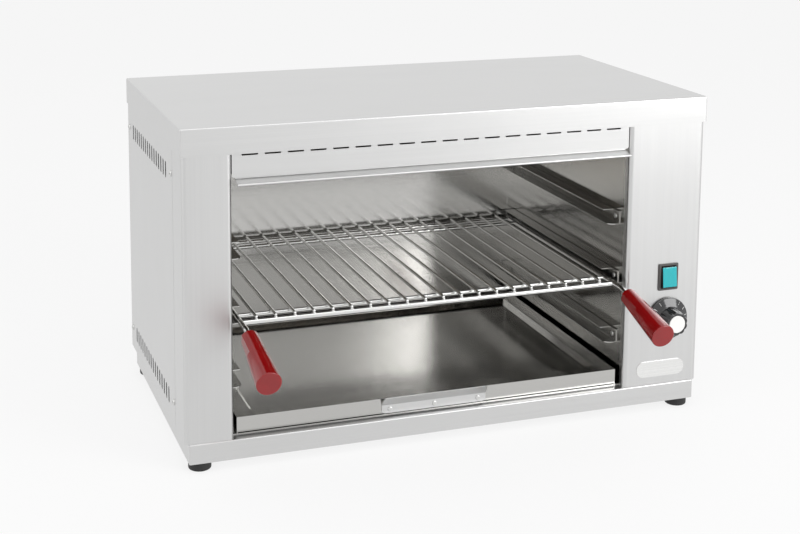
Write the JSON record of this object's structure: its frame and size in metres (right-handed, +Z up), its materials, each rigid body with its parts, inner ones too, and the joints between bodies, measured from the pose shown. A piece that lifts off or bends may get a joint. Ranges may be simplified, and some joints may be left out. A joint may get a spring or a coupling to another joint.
{
  "type": "cheese melter",
  "caption": "Counter-top electric cheese melter: stainless cabinet with an open front, sliding wire grid with handles, crumb tray, rocker switch and heat regulator.",
  "frame": {"origin": "middle of the bounding box, on the plane the feet stand on", "axes": "+X to the user's right, +Y from the open front to the back, +Z up"},
  "size_m": [0.62, 0.4414, 0.374],
  "materials": {
    "panel_steel": "fine satin stainless steel",
    "lining_steel": "bright annealed stainless steel",
    "bright_wire": "polished bright",
    "red_handle": "glossy dark red phenolic",
    "black_knob": "glossy black phenolic",
    "white_cap": "glossy white",
    "grey_bezel": "satin dark grey",
    "teal_rocker": "translucent teal lens",
    "foot_rubber": "matte black",
    "ceramic": "unglazed white ceramic",
    "element_sheath": "dark oxidised sheath",
    "brass_pin": "plain",
    "zinc_fastener": "zinc plated",
    "badge_plate": "plain satin plate",
    "black_plastic": "satin black"
  },
  "bodies": {
    "cabinet": {"top_cover": "panel_steel", "left_front_column": "panel_steel", "control_panel": "panel_steel", "left_side_panel": "panel_steel", "right_side_panel": "panel_steel", "back_panel": "panel_steel", "plinth": "panel_steel", "upper_front_panel": "panel_steel", "heat_deflector": "panel_steel", "cavity_left_wall": "lining_steel", "cavity_right_wall": "lining_steel", "cavity_back_wall": "lining_steel", "cavity_floor": "lining_steel", "element_reflector": "lining_steel", "element_hanger": "lining_steel", "left_rail_lower": "lining_steel", "left_rail_middle": "lining_steel", "left_rail_upper": "lining_steel", "right_rail_lower": "lining_steel", "right_rail_middle": "lining_steel", "right_rail_upper": "lining_steel", "rail_rivets": "zinc_fastener", "side_screws": "zinc_fastener", "lid_screws": "zinc_fastener", "foot_screws": "zinc_fastener", "foot_nuts": "zinc_fastener", "regulator_screws": "zinc_fastener", "foot_front_left": "foot_rubber", "foot_rear_left": "foot_rubber", "foot_front_right": "foot_rubber", "foot_rear_right": "foot_rubber", "heating_element_front": "element_sheath", "heating_element_middle": "element_sheath", "heating_element_rear": "element_sheath", "element_bushes": "ceramic", "element_pins": "brass_pin", "switch_housing": "grey_bezel", "regulator": "black_plastic", "gland_body": "black_plastic", "gland_cap": "black_plastic", "gland_nut": "black_plastic", "terminal_block": "black_plastic", "badge_plate": "badge_plate"},
    "grid": {"grid_frame": "bright_wire", "grid_wires": "bright_wire", "grid_handle_left": "red_handle", "grid_handle_right": "red_handle"},
    "crumb_tray": {"crumb_tray": "lining_steel", "tray_pull": "panel_steel", "tray_rivets": "zinc_fastener"},
    "rocker": {"rocker_button": "teal_rocker"},
    "knob": {"knob_shaft": "bright_wire", "knob": "black_knob", "knob_cap": "white_cap"}
  },
  "joints": [
    {"name": "grid_slide", "type": "slide", "parent": "cabinet", "child": "grid", "axis": [0, -1, 0], "range_m": [0, 0.27]},
    {"name": "crumb_tray_slide", "type": "slide", "parent": "cabinet", "child": "crumb_tray", "axis": [0, -1, 0], "range_m": [0, 0.28]},
    {"name": "rocker_tilt", "type": "hinge", "parent": "cabinet", "child": "rocker", "pos_m": [0.2665, -0.11226, 0.162], "axis": [1, 0, 0], "range_deg": [0, 10]},
    {"name": "knob_turn", "type": "hinge", "parent": "cabinet", "child": "knob", "pos_m": [0.2669, -0.11326, 0.1115], "axis": [0, 1, 0], "range_deg": [0, 300]}
  ]
}
